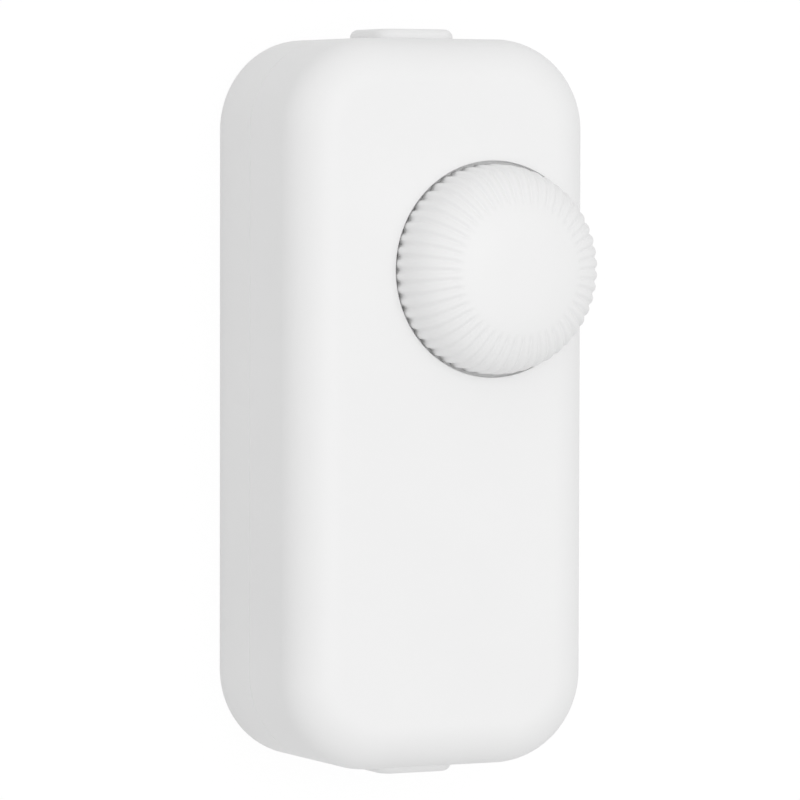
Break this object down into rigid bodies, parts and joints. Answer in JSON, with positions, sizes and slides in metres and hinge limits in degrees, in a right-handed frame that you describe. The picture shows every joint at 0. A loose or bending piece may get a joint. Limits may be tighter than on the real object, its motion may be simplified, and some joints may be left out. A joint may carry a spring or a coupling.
{
  "type": "rotary cord dimmer",
  "caption": "White in-line rotary dimmer for a lamp cord, with a rounded split case, a large fluted domed knob in a round well near one end and a square cord inlet at each end.",
  "frame": {"origin": "centre of the back face, which it lies on", "axes": "+X across the case, +Y along the cord towards the knob's end, +Z out of the front along the knob's axis"},
  "size_m": [0.0404, 0.0922, 0.0331],
  "materials": {
    "case_plastic": "satin moulded",
    "knob_plastic": "satin moulded",
    "bush_plastic": "satin moulded",
    "zinc_steel": "zinc plated",
    "shaft_plastic": "moulded",
    "track_board": "pressed laminate",
    "tinned_brass": "tinned",
    "brass": "stamped",
    "laminate": "pressed laminate",
    "black_epoxy": "moulded",
    "aluminium": "folded sheet",
    "blue_epoxy": "dipped",
    "yellow_box": "moulded",
    "ferrite": "sintered",
    "copper_wire": "enamelled",
    "fuse_glass": "clear",
    "grey_nylon": "moulded"
  },
  "bodies": {
    "case": {"front_cover": "case_plastic", "back_cover": "case_plastic", "cord_bush_top": "bush_plastic", "cord_bush_bottom": "bush_plastic", "case_screws": "zinc_steel", "pot_wafer": "track_board", "pot_cover": "zinc_steel", "pot_bushing": "zinc_steel", "pot_terminals": "tinned_brass", "circuit_board": "laminate", "triac": "black_epoxy", "heat_sink": "aluminium", "diac": "blue_epoxy", "resistors": "black_epoxy", "timing_capacitors": "blue_epoxy", "suppression_capacitor": "yellow_box", "choke_core": "ferrite", "choke_winding": "copper_wire", "fuse": "fuse_glass", "fuse_clips": "tinned_brass", "terminal_block_top": "grey_nylon", "terminal_block_bottom": "grey_nylon", "terminal_cages": "brass", "terminal_springs": "zinc_steel", "cord_clamp_top": "grey_nylon", "cord_clamp_bottom": "grey_nylon"},
    "knob": {"dimmer_knob": "knob_plastic", "pot_shaft": "shaft_plastic", "pot_wiper": "brass"}
  },
  "joints": [
    {"name": "knob_turn", "type": "hinge", "parent": "case", "child": "knob", "pos_m": [0.00573, 0.0166, 0.0244], "axis": [0, 0, -1], "range_deg": [0, 300]}
  ]
}
